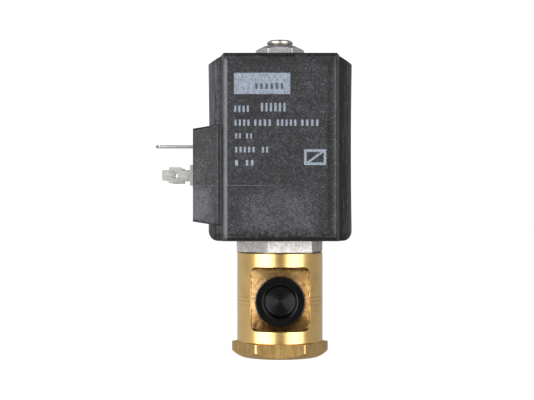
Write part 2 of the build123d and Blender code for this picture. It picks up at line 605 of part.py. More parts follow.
with BuildPart() as coil_case:
    # Shoulders: plan outline with an arc at each corner
    with BuildSketch(Plane.XY.offset(case_bottom)):
        with BuildLine():
            Line((PANEL_FOOT_HALF_WIDTH, PANEL_FOOT_REACH), (-PANEL_FOOT_HALF_WIDTH, PANEL_FOOT_REACH))
            RadiusArc(
                (-PANEL_FOOT_HALF_WIDTH, PANEL_FOOT_REACH),
                (-CASE_HALF_WIDTH, SHOULDER_REACH),
                -SHOULDER_ARC_RADIUS,
            )
            Line((-CASE_HALF_WIDTH, SHOULDER_REACH), (-CASE_HALF_WIDTH, -SHOULDER_REACH))
            RadiusArc(
                (-CASE_HALF_WIDTH, -SHOULDER_REACH),
                (-PANEL_FOOT_HALF_WIDTH, -PANEL_FOOT_REACH),
                -SHOULDER_ARC_RADIUS,
            )
            Line((-PANEL_FOOT_HALF_WIDTH, -PANEL_FOOT_REACH), (PANEL_FOOT_HALF_WIDTH, -PANEL_FOOT_REACH))
            RadiusArc(
                (PANEL_FOOT_HALF_WIDTH, -PANEL_FOOT_REACH),
                (CASE_HALF_WIDTH, -SHOULDER_REACH),
                -SHOULDER_ARC_RADIUS,
            )
            Line((CASE_HALF_WIDTH, -SHOULDER_REACH), (CASE_HALF_WIDTH, SHOULDER_REACH))
            RadiusArc(
                (CASE_HALF_WIDTH, SHOULDER_REACH),
                (PANEL_FOOT_HALF_WIDTH, PANEL_FOOT_REACH),
                -SHOULDER_ARC_RADIUS,
            )
        make_face()
    extrude(amount=CASE_HEIGHT)
    # Raised panels front and back, with drafted side walls and rounded upright ridges
    with BuildSketch(Plane.XY.offset(case_bottom)) as panel_outline:
        with BuildLine():
            Polyline(
                (PANEL_HALF_WIDTH, PANEL_REACH),
                (PANEL_FOOT_HALF_WIDTH, PANEL_FOOT_REACH),
                (PANEL_FOOT_HALF_WIDTH, -PANEL_FOOT_REACH),
                (PANEL_HALF_WIDTH, -PANEL_REACH),
                (-PANEL_HALF_WIDTH, -PANEL_REACH),
                (-PANEL_FOOT_HALF_WIDTH, -PANEL_FOOT_REACH),
                (-PANEL_FOOT_HALF_WIDTH, PANEL_FOOT_REACH),
                (-PANEL_HALF_WIDTH, PANEL_REACH),
                close=True,
            )
        make_face()
        panel_corners = panel_outline.vertices().group_by(Axis.Y)
        fillet(panel_corners[0] + panel_corners[-1], PANEL_RIDGE_RADIUS)
    extrude(amount=CASE_HEIGHT)
    # Side outline of the whole case: sloped top corners, round bottom ones, waisted flanks
    with BuildSketch(Plane.XZ) as side_outline:
        chamfer_foot = case_top - TOP_CHAMFER_DROP
        waist_middle = (case_bottom + chamfer_foot) / 2
        with BuildLine():
            Line((-TOP_CHAMFER_HALF_WIDTH, case_top), (TOP_CHAMFER_HALF_WIDTH, case_top))
            Line((TOP_CHAMFER_HALF_WIDTH, case_top), (CASE_HALF_WIDTH, chamfer_foot))
            ThreePointArc(
                (CASE_HALF_WIDTH, chamfer_foot),
                (CASE_HALF_WIDTH - CASE_WAIST, waist_middle),
                (CASE_HALF_WIDTH, case_bottom),
            )
            Line((CASE_HALF_WIDTH, case_bottom), (-CASE_HALF_WIDTH, case_bottom))
            ThreePointArc(
                (-CASE_HALF_WIDTH, case_bottom),
                (CASE_WAIST - CASE_HALF_WIDTH, waist_middle),
                (-CASE_HALF_WIDTH, chamfer_foot),
            )
            Line((-CASE_HALF_WIDTH, chamfer_foot), (-TOP_CHAMFER_HALF_WIDTH, case_top))
        make_face()
        bottom_corners, side_corners, top_corners = side_outline.vertices().group_by(Axis.Y)
        fillet(bottom_corners, BOTTOM_CORNER_RADIUS)
        fillet(side_corners, TOP_CORNER_RADIUS)
        fillet(top_corners, TOP_EDGE_RADIUS)
    extrude(amount=PANEL_REACH, both=True, mode=Mode.INTERSECT)
    # Rounded top and bottom edges of the panels
    with BuildSketch(Plane.YZ):
        with Locations((0, case_bottom + CASE_HEIGHT / 2)):
            RectangleRounded(2 * PANEL_REACH, CASE_HEIGHT, PANEL_END_RADIUS)
    extrude(amount=CASE_HALF_WIDTH, both=True, mode=Mode.INTERSECT)
    # Connector base: square at its face, flaring into the side of the case
    with BuildSketch(connector_plane(CONNECTOR_ROOT_REACH)):
        RectangleRounded(2 * CONNECTOR_ROOT_HALF_DEPTH, 2 * CONNECTOR_ROOT_HALF_HEIGHT, CONNECTOR_EDGE_RADIUS)
    with BuildSketch(connector_plane(CONNECTOR_FACE_REACH)):
        RectangleRounded(2 * CONNECTOR_HALF_SIDE, 2 * CONNECTOR_HALF_SIDE, CONNECTOR_EDGE_RADIUS)
    loft()
    # Root of the connector base, set back a little and filled up to the walls of the panels
    with BuildSketch(connector_plane(PANEL_HALF_WIDTH)):
        Rectangle(
            2 * (CONNECTOR_ROOT_HALF_DEPTH - CONNECTOR_ROOT_STEP),
            2 * (CONNECTOR_ROOT_HALF_HEIGHT - CONNECTOR_ROOT_STEP),
        )
    extrude(amount=CONNECTOR_ROOT_REACH - PANEL_HALF_WIDTH)
    # Space for the yoke, the bobbin and the winding
    with BuildSketch(Plane.XY.offset(cavity_bottom)):
        Rectangle(2 * (YOKE_HALF_WIDTH + PACKING_GAP), 2 * (YOKE_REACH + PACKING_GAP))
    extrude(amount=cavity_top - cavity_bottom, mode=Mode.SUBTRACT)
    # Bore for the guide tube, with the seat of the lower ring
    with BuildSketch(Plane.XY.offset(case_bottom)):
        Circle(YOKE_BORE_RADIUS)
    extrude(amount=cavity_bottom - case_bottom, mode=Mode.SUBTRACT)
    with BuildSketch(Plane.XY.offset(case_bottom)):
        Circle(LOWER_RING_RADIUS)
    extrude(amount=LOWER_RING_HEIGHT, mode=Mode.SUBTRACT)
    # Bore for the stud, with the seats of the upper ring and the washer
    with BuildSketch(Plane.XY.offset(cavity_top)):
        Circle(UPPER_RING_RADIUS)
    extrude(amount=case_top - cavity_top, mode=Mode.SUBTRACT)
    with BuildSketch(Plane.XY.offset(washer_bottom)):
        Circle(WASHER_RECESS_RADIUS)
    extrude(amount=case_top - washer_bottom, mode=Mode.SUBTRACT)
    # Slots for the terminals, the earth strap and the screw insert
    for side in (-1, 1):
        with BuildSketch(connector_plane(YOKE_HALF_WIDTH)):
            with Locations((side * BLADE_OFFSET, 0)):
                Rectangle(BLADE_THICKNESS + 2 * TAIL_GAP, TAIL_WIDTH + 2 * TAIL_GAP)
        extrude(amount=CONNECTOR_FACE_REACH - YOKE_HALF_WIDTH, mode=Mode.SUBTRACT)
    with BuildSketch(connector_plane(YOKE_HALF_WIDTH, earth_height)):
        Rectangle(TAIL_WIDTH + 2 * TAIL_GAP, BLADE_THICKNESS + 2 * TAIL_GAP)
    extrude(amount=CONNECTOR_FACE_REACH - YOKE_HALF_WIDTH, mode=Mode.SUBTRACT)
    with BuildSketch(Plane.XY.offset(earth_height - STRAP_WIDTH / 2 - TAIL_GAP)):
        with Locations((-YOKE_HALF_WIDTH, -STRAP_END_REACH - TAIL_GAP)):
            Rectangle(
                STRAP_THICKNESS + TAIL_GAP,
                STRAP_END_REACH + TAIL_WIDTH / 2 + 2 * TAIL_GAP,
                align=(Align.MAX, Align.MIN),
            )
    extrude(amount=STRAP_WIDTH + 2 * TAIL_GAP, mode=Mode.SUBTRACT)
    with BuildSketch(connector_plane(CONNECTOR_FACE_REACH)):
        Circle(INSERT_RADIUS)
    extrude(amount=-INSERT_LENGTH - INSERT_POCKET_GAP, mode=Mode.SUBTRACT)
coil_case.part.label = "coil_case"
export_step(coil_case.part, "parts/coil_case.step")

# ---------------------------------------------------------------- rings, washer and nut

with BuildPart() as lower_ring:
    with BuildSketch(Plane.XY.offset(case_bottom)):
        Circle(LOWER_RING_RADIUS)
        Circle(YOKE_BORE_RADIUS, mode=Mode.SUBTRACT)
    extrude(amount=LOWER_RING_HEIGHT)
lower_ring.part.label = "lower_ring"
export_step(lower_ring.part, "parts/lower_ring.step")

with BuildPart() as upper_ring:
    with BuildSketch(Plane.XY.offset(cavity_top)):
        Circle(UPPER_RING_RADIUS)
        Circle(UPPER_RING_BORE_RADIUS, mode=Mode.SUBTRACT)
    extrude(amount=washer_bottom - cavity_top)
upper_ring.part.label = "upper_ring"
export_step(upper_ring.part, "parts/upper_ring.step")

with BuildPart() as nut_washer:
    with BuildSketch(Plane.XY.offset(washer_bottom)):
        Circle(WASHER_RADIUS)
        Circle(WASHER_BORE_RADIUS, mode=Mode.SUBTRACT)
    extrude(amount=WASHER_THICKNESS)
nut_washer.part.label = "nut_washer"
export_step(nut_washer.part, "parts/nut_washer.step")

with BuildPart() as coil_nut:
    with BuildSketch(Plane.XY.offset(nut_bottom)):
        RegularPolygon(NUT_ACROSS_FLATS / 2, 6, major_radius=False)
    extrude(amount=NUT_HEIGHT)
    nut_corner_radius = NUT_ACROSS_FLATS / math.sqrt(3)
    nut_chamfer_height = (nut_corner_radius - NUT_FACE_RADIUS) * math.tan(math.radians(NUT_CHAMFER_ANGLE))
    with BuildSketch(Plane.XZ):
        with BuildLine():
            Polyline(
                (0, nut_bottom),
                (nut_corner_radius, nut_bottom),
                (nut_corner_radius, nut_bottom + NUT_HEIGHT - nut_chamfer_height),
                (NUT_FACE_RADIUS, nut_bottom + NUT_HEIGHT),
                (0, nut_bottom + NUT_HEIGHT),
                close=True,
            )
        make_face()
    revolve(axis=Axis.Z, mode=Mode.INTERSECT)
    with BuildSketch(Plane.XY.offset(nut_bottom)):
        Circle(NUT_BORE_RADIUS)
    extrude(amount=NUT_HEIGHT, mode=Mode.SUBTRACT)
coil_nut.part.label = "coil_nut"
export_step(coil_nut.part, "parts/coil_nut.step")
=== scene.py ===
import bmesh
import bpy
import json
import math
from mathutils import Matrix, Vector


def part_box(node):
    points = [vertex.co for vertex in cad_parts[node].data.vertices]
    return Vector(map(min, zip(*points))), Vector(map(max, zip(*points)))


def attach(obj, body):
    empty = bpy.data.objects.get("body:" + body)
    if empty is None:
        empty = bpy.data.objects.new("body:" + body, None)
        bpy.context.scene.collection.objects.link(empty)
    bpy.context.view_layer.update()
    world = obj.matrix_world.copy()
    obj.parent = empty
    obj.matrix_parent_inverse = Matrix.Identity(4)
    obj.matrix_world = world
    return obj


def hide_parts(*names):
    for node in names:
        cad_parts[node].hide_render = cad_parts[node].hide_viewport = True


# Looks of a direct-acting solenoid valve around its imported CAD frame. Blender works in metres:
# sizes are written in millimetres and multiplied by MM. -Y is the side of the printed panel.
MM = 0.001

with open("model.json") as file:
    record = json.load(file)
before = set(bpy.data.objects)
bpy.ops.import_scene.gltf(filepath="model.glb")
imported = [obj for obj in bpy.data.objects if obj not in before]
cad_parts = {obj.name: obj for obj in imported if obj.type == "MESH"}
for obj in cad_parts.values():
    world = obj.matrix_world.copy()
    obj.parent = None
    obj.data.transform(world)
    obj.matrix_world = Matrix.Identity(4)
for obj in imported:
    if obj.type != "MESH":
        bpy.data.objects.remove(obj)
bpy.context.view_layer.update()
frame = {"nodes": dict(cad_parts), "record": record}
nodes = frame["nodes"]
bodies = frame["record"]["behaviour"]["bodies"]
body_of = {node: body for body, members in bodies.items() for node in members}
slot_of = {part["node"]: part["material_slot"] for part in frame["record"]["subparts"]}


def level(node, share):
    """Height in millimetres of a place between the bottom (0) and the top (1) of a CAD node."""
    low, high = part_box(node)
    return round((low[2] + share * (high[2] - low[2])) / MM, 3)


def half_size(node, axis):
    """Half the size of a CAD node that is centred across X (0) or Y (1), in millimetres."""
    return round(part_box(node)[1][axis] / MM, 3)


# Sizes of the body and its ports in millimetres. The ports' axis runs along Y at the port level.
PORT_LEVEL = level("port_plug_front", 0.5)
BAR_RADIUS = half_size("valve_body", 0)
FLAT_REACH = 9.5
SPOTFACE_REACH = 9.1
POCKET_HALF_WIDTH = 9.5
POCKET_HALF_HEIGHT = 10.6
POCKET_FLOOR_FILLET = 1.1
POCKET_FLOOR_HALF_WIDTH = POCKET_HALF_WIDTH - POCKET_FLOOR_FILLET
PORT_THREAD = {"minor_radius": 5.72, "depth": 0.8, "pitch": 1.337, "mouth": 7.3, "end": 2.8, "run_out": 0.5}
PORT_THREAD_CUTS = 34

# Sizes of the fixed core with its stud, and of the nut on it.
CORE_LOW = level("fixed_core", 0.0)
CORE_RADIUS = 5.97
GROOVE_TOP = level("shading_ring", 1.0)
GROOVE_RADII = (3.8, half_size("shading_ring", 0))
COLLAR_LOW = level("guide_tube", 1.0)
COLLAR_RADIUS = half_size("guide_tube", 0)
STUD_FOOT = COLLAR_LOW + 2.0
STUD_TOP = level("fixed_core", 1.0)
STUD_RADIUS = 4.0
STUD_CHAMFER_WIDTH = 0.95
STUD_CHAMFER_HEIGHT = 0.5
STUD_RING_STEP = 0.1
THREAD_PITCH = 1.25
THREAD_DEPTH = 0.55
THREAD_RUN_OUT = 0.2
PLAIN_END = 1.1
NUT_FLAT_REACH = half_size("coil_nut", 1)
NUT_CORNER_ROUNDING = 0.2
NUT_BORE = 4.03
NUT_FACE = 4.7
NUT_CHAMFER_ANGLE = 25


# ------------------------------------------------------------------ camera, floor, lights

CAMERA_PLACE = Vector((-4.0, -430.0, 48.3)) * MM
CAMERA_LENS = 93.35
AIM_HEIGHT = 0.05
FLOOR_HALF_SIDE = 3.0
FLOOR_GLOW = 0.95


def add_camera():
    data = bpy.data.cameras.new("camera")
    data.lens = CAMERA_LENS
    data.clip_start = 0.01
    data.clip_end = 20
    camera = bpy.data.objects.new("camera", data)
    camera.location = CAMERA_PLACE
    camera.rotation_euler = (math.radians(90), 0, 0)
    bpy.context.scene.collection.objects.link(camera)
    bpy.context.scene.camera = camera


def add_softbox(name, azimuth, distance, height, width, tall, power):
    """Area light at an azimuth from the front (-Y), positive towards +X, aimed at the valve.

    Lengths are in metres, the azimuth in degrees and the power in watts.
    """
    data = bpy.data.lights.new(name, "AREA")
    data.shape = "RECTANGLE"
    data.size = width
    data.size_y = tall
    data.energy = power
    light = bpy.data.objects.new(name, data)
    angle = math.radians(azimuth)
    light.location = (distance * math.sin(angle), -distance * math.cos(angle), height)
    aim = Vector((0, 0, AIM_HEIGHT)) - light.location
    light.rotation_euler = aim.to_track_quat("-Z", "Y").to_euler()
    bpy.context.scene.collection.objects.link(light)


def sees_camera(tree):
    """1 for a ray straight from the camera, 0 for light that reaches or leaves the valve."""
    return tree.nodes.new("ShaderNodeLightPath").outputs["Is Camera Ray"]


def add_world(left, right, front, above, below, backdrop):
    """Dim studio round the valve, dimmer above, below and behind the camera, and a white backdrop.

    left and right are the strengths of its two sides; front, above and below are factors that dim it
    there. Only the camera sees the backdrop.
    """
    world = bpy.data.worlds.new("studio")
    world.use_nodes = True
    tree = world.node_tree
    direction = tree.nodes.new("ShaderNodeTexCoord")
    split = tree.nodes.new("ShaderNodeSeparateXYZ")
    tree.links.new(direction.outputs["Generated"], split.inputs["Vector"])

    def spread(letter, from_min, from_max, to_min, to_max):
        """Smooth change along one axis of the direction, which runs from -1 to 1."""
        node = tree.nodes.new("ShaderNodeMapRange")
        node.interpolation_type = "SMOOTHSTEP"
        limits = {"From Min": from_min, "From Max": from_max, "To Min": to_min, "To Max": to_max}
        for name, number in limits.items():
            node.inputs[name].default_value = number
        tree.links.new(split.outputs[letter], node.inputs["Value"])
        return node.outputs["Result"]

    def product(a, b):
        node = tree.nodes.new("ShaderNodeMath")
        node.operation = "MULTIPLY"
        tree.links.new(a, node.inputs[0])
        tree.links.new(b, node.inputs[1])
        return node.outputs[0]

    around = spread("X", -0.9, 0.9, left, right)
    upward = spread("Z", 0.15, 0.8, 1.0, above)
    downward = spread("Z", -0.45, -0.1, below, 1.0)
    gap = spread("Y", -0.99, -0.93, front, 1.0)
    studio = product(product(around, product(upward, downward)), gap)
    choose = tree.nodes.new("ShaderNodeMix")
    choose.data_type = "FLOAT"
    tree.links.new(sees_camera(tree), choose.inputs["Factor"])
    tree.links.new(studio, choose.inputs["A"])
    choose.inputs["B"].default_value = backdrop
    background = tree.nodes["Background"]
    background.inputs["Color"].default_value = (1, 1, 1, 1)
    tree.links.new(choose.outputs["Result"], background.inputs["Strength"])
    bpy.context.scene.world = world


def add_floor():
    """Plain pale paper under the valve. Only the camera sees it: it neither lights nor shades the valve."""
    half = FLOOR_HALF_SIDE
    mesh = bpy.data.meshes.new("floor")
    corners = [(-half, -half, 0), (half, -half, 0), (half, half, 0), (-half, half, 0)]
    mesh.from_pydata(corners, [], [(0, 1, 2, 3)])
    floor = bpy.data.objects.new("floor", mesh)
    bpy.context.scene.collection.objects.link(floor)
    paper = Shader("paper", Base_Color=(0.18, 0.18, 0.18, 1), Roughness=0.9, Emission_Color=(1, 1, 1, 1))
    paper.set("Emission Strength", paper.times(sees_camera(paper.tree), FLOOR_GLOW))
    mesh.materials.append(paper.material)
    floor.visible_shadow = False
    floor.visible_glossy = False
    floor.visible_diffuse = False


# ------------------------------------------------------------------ material building blocks

class Shader:
    """A node material under construction, with a Principled surface.

    Most values may be a plain number or the output of another node.
    """

    def __init__(self, name, **constants):
        self.material = bpy.data.materials.new(name)
        self.material.use_nodes = True
        self.tree = self.material.node_tree
        self.surface = self.tree.nodes["Principled BSDF"]
        for socket, value in constants.items():
            self.surface.inputs[socket.replace("_", " ")].default_value = value
        self.place = self.tree.nodes.new("ShaderNodeTexCoord").outputs["Object"]

    def feed(self, socket, value):
        if isinstance(value, bpy.types.NodeSocket):
            self.tree.links.new(value, socket)
        else:
            socket.default_value = value

    def set(self, socket, value):
        self.feed(self.surface.inputs[socket], value)

    def math(self, operation, a, b=0.0, clamp=False):
        node = self.tree.nodes.new("ShaderNodeMath")
        node.operation = operation
        node.use_clamp = clamp
        self.feed(node.inputs[0], a)
        self.feed(node.inputs[1], b)
        return node.outputs[0]

    def plus(self, a, b):
        return self.math("ADD", a, b)

    def minus(self, a, b, clamp=False):
        return self.math("SUBTRACT", a, b, clamp)

    def times(self, a, b, clamp=False):
        return self.math("MULTIPLY", a, b, clamp)

    def larger(self, a, b):
        return self.math("MAXIMUM", a, b)

    def excess(self, a, b):
        """How far a lies above b, or 0."""
        return self.larger(self.minus(a, b), 0.0)

    def size(self, a):
        return self.math("ABSOLUTE", a)

    def axis(self, letter):
        """Object coordinate along one axis, in millimetres."""
        split = self.tree.nodes.new("ShaderNodeSeparateXYZ")
        self.tree.links.new(self.place, split.inputs[0])
        return self.times(split.outputs[letter], 1 / MM)

    def stretched(self, x=1.0, y=1.0, z=1.0):
        """Object coordinates in millimetres, scaled along each axis."""
        node = self.tree.nodes.new("ShaderNodeMapping")
        self.tree.links.new(self.place, node.inputs["Vector"])
        node.inputs["Scale"].default_value = (x / MM, y / MM, z / MM)
        return node.outputs[0]

    def noise(self, vector, scale=1.0, detail=2.0, roughness=0.5, distortion=0.0):
        node = self.tree.nodes.new("ShaderNodeTexNoise")
        self.feed(node.inputs["Vector"], vector)
        node.inputs["Scale"].default_value = scale
        node.inputs["Detail"].default_value = detail
        node.inputs["Roughness"].default_value = roughness
        node.inputs["Distortion"].default_value = distortion
        return node.outputs["Fac"]

    def combine(self, x=0.0, y=0.0, z=0.0):
        node = self.tree.nodes.new("ShaderNodeCombineXYZ")
        for socket, value in zip(node.inputs, (x, y, z)):
            self.feed(socket, value)
        return node.outputs[0]

    def around_axis(self, turns, rise):
        """Coordinates round +Z, from the angle and the height, for marks left by a lathe."""
        angle = self.math("ARCTAN2", self.axis("Y"), self.axis("X"))
        return self.combine(self.times(angle, turns), self.times(self.axis("Z"), rise))

    def spread_across_rings(self, axis, amount):
        """Stretch the gloss across the rings that turning leaves round +Z, or round the ports' axis Y."""
        if axis == "Z":
            along = self.combine(self.times(self.axis("Y"), -1.0), self.axis("X"))
        else:
            above = self.minus(self.axis("Z"), PORT_LEVEL)
            along = self.combine(above, 0.0, self.times(self.axis("X"), -1.0))
        across = self.tree.nodes.new("ShaderNodeVectorMath")
        across.operation = "CROSS_PRODUCT"
        face = self.tree.nodes.new("ShaderNodeNewGeometry")
        self.tree.links.new(face.outputs["Normal"], across.inputs[0])
        self.tree.links.new(along, across.inputs[1])
        self.surface.inputs["Anisotropic"].default_value = amount
        self.set("Tangent", across.outputs[0])

    def distance_from(self, x=None, y=None, z=None):
        """Distance in millimetres from an axis through the coordinates that are given."""
        total = None
        for letter, centre in (("X", x), ("Y", y), ("Z", z)):
            if centre is None:
                continue
            offset = self.minus(self.axis(letter), centre)
            square = self.times(offset, offset)
            total = square if total is None else self.plus(total, square)
        return self.math("SQRT", total)

    def between(self, value, low, high, soft):
        """1 where low < value < high, fading over soft at each end."""
        rise = self.math("DIVIDE", self.minus(value, low), soft, clamp=True)
        fall = self.math("DIVIDE", self.minus(high, value), soft, clamp=True)
        return self.times(rise, fall)

    def ramp(self, value, *stops, smooth=True):
        """Colour ramp; each stop is a position and a colour, or one number for a grey."""
        node = self.tree.nodes.new("ShaderNodeValToRGB")
        node.color_ramp.interpolation = "EASE" if smooth else "LINEAR"
        elements = node.color_ramp.elements
        while len(elements) > 1:
            elements.remove(elements[-1])
        for number, (position, colour) in enumerate(stops):
            stop = elements[0] if number == 0 else elements.new(position)
            stop.position = position
            red_green_blue = (colour,) * 3 if isinstance(colour, (int, float)) else colour
            stop.color = (*red_green_blue, 1)
        self.feed(node.inputs["Fac"], value)
        return node.outputs["Color"]

    def mix(self, factor, a, b):
        """Blend of two colours; the node's sockets 6, 7 and 2 are the ones for colours."""
        node = self.tree.nodes.new("ShaderNodeMix")
        node.data_type = "RGBA"
        self.feed(node.inputs[0], factor)
        self.feed(node.inputs[6], a)
        self.feed(node.inputs[7], (*b, 1))
        return node.outputs[2]

    def bump(self, height, depth_mm, normal=None):
        node = self.tree.nodes.new("ShaderNodeBump")
        node.inputs["Strength"].default_value = 1.0
        node.inputs["Distance"].default_value = depth_mm * MM
        self.feed(node.inputs["Height"], height)
        if normal is not None:
            self.feed(node.inputs["Normal"], normal)
        return node.outputs["Normal"]


# ------------------------------------------------------------------ materials

WITNESS_LEVELS = (PORT_LEVEL - 1.2, PORT_LEVEL + 0.1, PORT_LEVEL + 1.3)
WITNESS_HALF_WIDTH = 0.22
WITNESS_BROWN = (0.36, 0.22, 0.08)


def turned_brass(name, bright, dark, roughness, line_depth, witness_levels=()):
    """Brass off the lathe under a thin film of oil: fine rings round the axis, stains and rubbed spots.

    The witness levels are heights in millimetres where a tool has left one darker ring on the bar.
    """
    look = Shader(name, Metallic=1.0, Coat_Weight=0.5, Coat_Roughness=0.26, Coat_IOR=1.6)
    rings = look.noise(look.around_axis(0.4, 9.0), 1.0, 3.0, 0.65)
    stain = look.noise(look.stretched(), 0.16, 4.0, 0.6)
    fine = look.noise(look.stretched(), 2.6, 3.0, 0.6)
    worn = look.plus(look.times(stain, 0.6), look.times(fine, 0.25))
    worn = look.plus(worn, look.times(rings, 0.15))
    colour = look.ramp(worn, (0.32, dark), (0.60, bright))
    for middle in witness_levels:
        ring = look.between(look.axis("Z"), middle - WITNESS_HALF_WIDTH, middle + WITNESS_HALF_WIDTH, 0.12)
        on_bar = look.math("GREATER_THAN", look.distance_from(x=0.0, y=0.0), BAR_RADIUS - 0.5)
        patches = look.ramp(fine, (0.35, 0.1), (0.6, 0.5))
        colour = look.mix(look.times(look.times(ring, on_bar), patches), colour, WITNESS_BROWN)
    look.set("Base Color", colour)
    rough = look.plus(look.times(rings, 0.12), roughness - 0.06)
    look.set("Roughness", look.plus(rough, look.times(stain, 0.06)))
    look.set("Normal", look.bump(rings, line_depth, look.bump(fine, 0.003)))
    look.spread_across_rings("Z", 0.5)
    return look.material


# Painted shade on the faced brass: it darkens below the first level and above the second, in millimetres,
# and its darkest colour is this share of the dark colour.
PAINTED_SHADE_BELOW_LEVEL = PORT_LEVEL - 2.0
PAINTED_SHADE_ABOVE_LEVEL = PORT_LEVEL + 9.2
PAINTED_SHADE_SHARE = 0.28


def faced_brass(name, bright, dark, roughness, spread):
    """Brass faced off round the port: bright beside it, with painted shade below it, above it, towards the
    right and in the pocket's fillets.
    """
    look = Shader(name, Metallic=1.0)
    x, z = look.axis("X"), look.axis("Z")
    patch = look.noise(look.stretched(), 0.45, 3.0, 0.6, 0.6)
    angle = look.math("ARCTAN2", look.minus(z, PORT_LEVEL), x)
    reach = look.distance_from(x=0.0, z=PORT_LEVEL)
    rays = look.noise(look.combine(look.times(angle, 11.0), look.times(reach, 0.2)), 1.0, 1.0, 0.6)
    tone = look.plus(look.times(patch, 0.8), look.times(rays, 0.2))
    # Painted shade: darker towards +X, the right-hand side.
    tone = look.minus(tone, look.times(x, 0.012))
    # Painted shade below the port, and above it towards the pocket's top fillet.
    tone = look.minus(tone, look.times(look.excess(PAINTED_SHADE_BELOW_LEVEL, z), 0.07))
    tone = look.minus(tone, look.times(look.excess(z, PAINTED_SHADE_ABOVE_LEVEL), 0.45))
    # Painted shade in the pocket's fillets and corners, which are also made rougher.
    up_fillet = look.times(look.excess(look.size(look.axis("Y")), FLAT_REACH + 0.02), 1.6, clamp=True)
    on_fillet = look.math("GREATER_THAN", up_fillet, 0.0)
    beside = look.times(look.excess(look.size(x), POCKET_FLOOR_HALF_WIDTH), on_fillet)
    shaded_corner = look.larger(up_fillet, look.times(beside, 2.5, clamp=True))
    tone = look.minus(tone, look.times(shaded_corner, 0.4))
    # The darkest stop of the ramp is painted shade.
    painted_shade_colour = tuple(PAINTED_SHADE_SHARE * channel for channel in dark)
    look.set("Base Color", look.ramp(tone, (0.12, painted_shade_colour), (0.36, dark), (0.66, bright)))
    rough = look.plus(look.times(rays, 0.12), roughness - 0.06)
    look.set("Roughness", look.plus(rough, look.times(shaded_corner, 0.25)))
    look.set("Normal", look.bump(patch, 0.008))
    look.spread_across_rings("Y", spread)
    return look.material


def brushed_metal(name, bright, dark, roughness, along, depth):
    """Metal with a fine grain; along gives the noise scale on each axis, per millimetre."""
    look = Shader(name, Metallic=1.0)
    grain = look.noise(look.stretched(*along), 1.0, 3.0, 0.6)
    cloud = look.noise(look.stretched(), 0.25, 4.0, 0.6)
    tone = look.plus(look.times(grain, 0.5), look.times(cloud, 0.5))
    look.set("Base Color", look.ramp(tone, (0.35, dark), (0.65, bright)))
    look.set("Roughness", look.plus(look.times(grain, 0.16), roughness - 0.08))
    look.set("Normal", look.bump(grain, depth))
    return look.material


def blasted_steel(name):
    """Grit-blasted stainless: small dents that sparkle under the softboxes."""
    look = Shader(name, Metallic=1.0)
    dents = look.noise(look.stretched(), 2.0, 3.0, 0.75)
    cloud = look.noise(look.stretched(), 0.5, 3.0, 0.6)
    tone = look.plus(look.times(dents, 0.6), look.times(cloud, 0.4))
    look.set("Base Color", look.ramp(tone, (0.38, (0.36, 0.34, 0.335)), (0.62, (0.62, 0.60, 0.585))))
    look.set("Roughness", look.plus(look.times(cloud, 0.2), 0.36))
    look.set("Normal", look.bump(dents, 0.13))
    return look.material


# The printed panel: a pale plate, lines of plain blocks and one circuit symbol.
# Every figure is in millimetres in the X-Z plane of the panel. The plate and the symbol are
# left, right, bottom and top; a line of blocks is its middle height, its height and its words.
PLATE = (-13.85, 2.95, 79.6, 86.05)
PLATE_LINE = (82.0, 1.9, ((-7.6, 1.5),))
BLOCK_LINES = (
    (75.3, 2.1, ((-13.8, -8.8),)),
    (75.8, 2.7, ((-5.9, 2.1),)),
    (71.2, 2.0, ((-13.7, -8.6), (-7.9, -2.2), (-1.2, 5.3), (6.0, 11.9))),
    (67.3, 1.7, ((-13.5, -11.2), (-10.3, -7.9))),
    (63.2, 1.8, ((-13.5, -7.1), (-5.6, -3.1))),
    (59.3, 1.8, ((-13.6, -11.7), (-10.4, -7.3))),
)
BLOCK_PITCH = 1.4
BLOCK_SHARE = 0.6
SYMBOL = (6.9, 13.6, 58.6, 63.4)
SYMBOL_LINE = 0.75
PRINT_SOFTNESS = 0.16
PANEL_FACE = -half_size("coil_case", 1)


def front_print(look):
    """Where the pale ink lies on the front panel, from 0 to 1."""
    x, z = look.axis("X"), look.axis("Z")
    soft = PRINT_SOFTNESS

    def rectangle(left, right, low, high):
        return look.times(look.between(x, left, right, soft), look.between(z, low, high, soft))

    def blocks(middle, height, words):
        """Words as rows of plain blocks, with no letter among them."""
        row = None
        for left, right in words:
            count = max(1, round((right - left) / BLOCK_PITCH))
            pitch = (right - left) / count
            step = look.math("FRACT", look.math("DIVIDE", look.minus(x, left), pitch))
            word = look.times(look.between(x, left, right, soft), look.between(step, 0.0, BLOCK_SHARE, 0.12))
            row = word if row is None else look.larger(row, word)
        return look.times(row, look.between(z, middle - height / 2, middle + height / 2, soft))

    left, right, low, high = SYMBOL
    line = SYMBOL_LINE
    outer = rectangle(left, right, low, high)
    inner = rectangle(left + line, right - line, low + line, high - line)
    slope = (high - low) / (right - left)
    lift = look.minus(look.minus(z, low), look.times(look.minus(x, left), slope))
    diagonal = look.between(lift, -line * 0.6, line * 0.6, soft)
    ink = look.larger(look.minus(outer, inner, clamp=True), look.times(outer, diagonal))
    for line_of_blocks in BLOCK_LINES:
        ink = look.larger(ink, blocks(*line_of_blocks))
    plate = look.minus(rectangle(*PLATE), look.times(blocks(*PLATE_LINE), 0.85), clamp=True)
    thin = look.ramp(look.noise(look.stretched(), 2.2, 2.0, 0.7), (0.36, 0.45), (0.56, 1.0))
    wear = look.ramp(look.noise(look.stretched(1, 1, 0.7), 1.1, 4.0, 0.85), (0.38, 0.45), (0.58, 1.0))
    covered = look.larger(look.times(ink, thin), look.times(plate, wear))
    return look.times(covered, look.math("LESS_THAN", look.axis("Y"), PANEL_FACE + 0.05))
